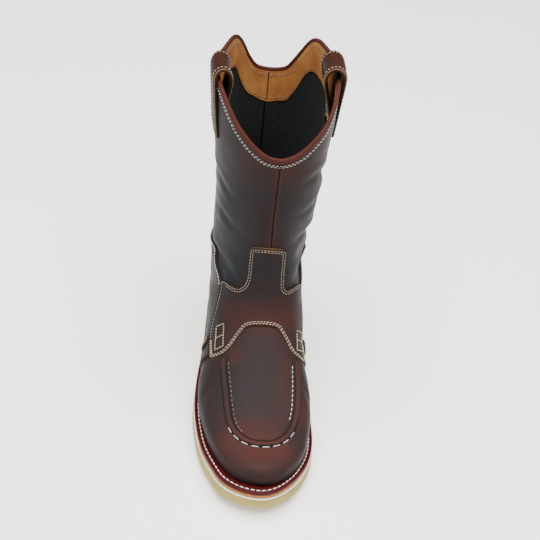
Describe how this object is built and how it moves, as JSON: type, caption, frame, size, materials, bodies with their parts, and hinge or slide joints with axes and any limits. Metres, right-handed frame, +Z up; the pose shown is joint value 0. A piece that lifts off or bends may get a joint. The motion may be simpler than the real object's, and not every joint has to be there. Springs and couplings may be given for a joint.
{
  "type": "wellington work boot",
  "caption": "Pull-on wellington work boot with a moc toe, a dipped collar with pull straps, and a wedge sole, for the right foot.",
  "frame": {"origin": "middle of the boot's bounding box on the floor plane, under the sole", "axes": "+Z up from the floor, +X to the big-toe side, +Y from the toe back to the heel"},
  "size_m": [0.116, 0.3076, 0.3295],
  "materials": {
    "crepe_rubber": "matte, finely grained",
    "white_rubber": "matte",
    "midsole_leather": "burnished cut edge",
    "welt_leather": "dyed and waxed",
    "insole_leather": "smooth, undyed",
    "oiled_leather": "oiled, soft sheen",
    "binding_leather": "folded edge, soft sheen"
  },
  "bodies": {
    "root": {"outsole": "crepe_rubber", "rand": "white_rubber", "midsole": "midsole_leather", "welt": "welt_leather", "insole": "insole_leather", "upper": "oiled_leather", "moc_seam": "oiled_leather", "saddle": "oiled_leather", "counter": "oiled_leather", "collar_binding": "binding_leather", "pull_strap_lateral": "oiled_leather", "pull_strap_medial": "oiled_leather", "seam_tab_lateral": "oiled_leather", "seam_tab_medial": "oiled_leather"}
  },
  "joints": []
}
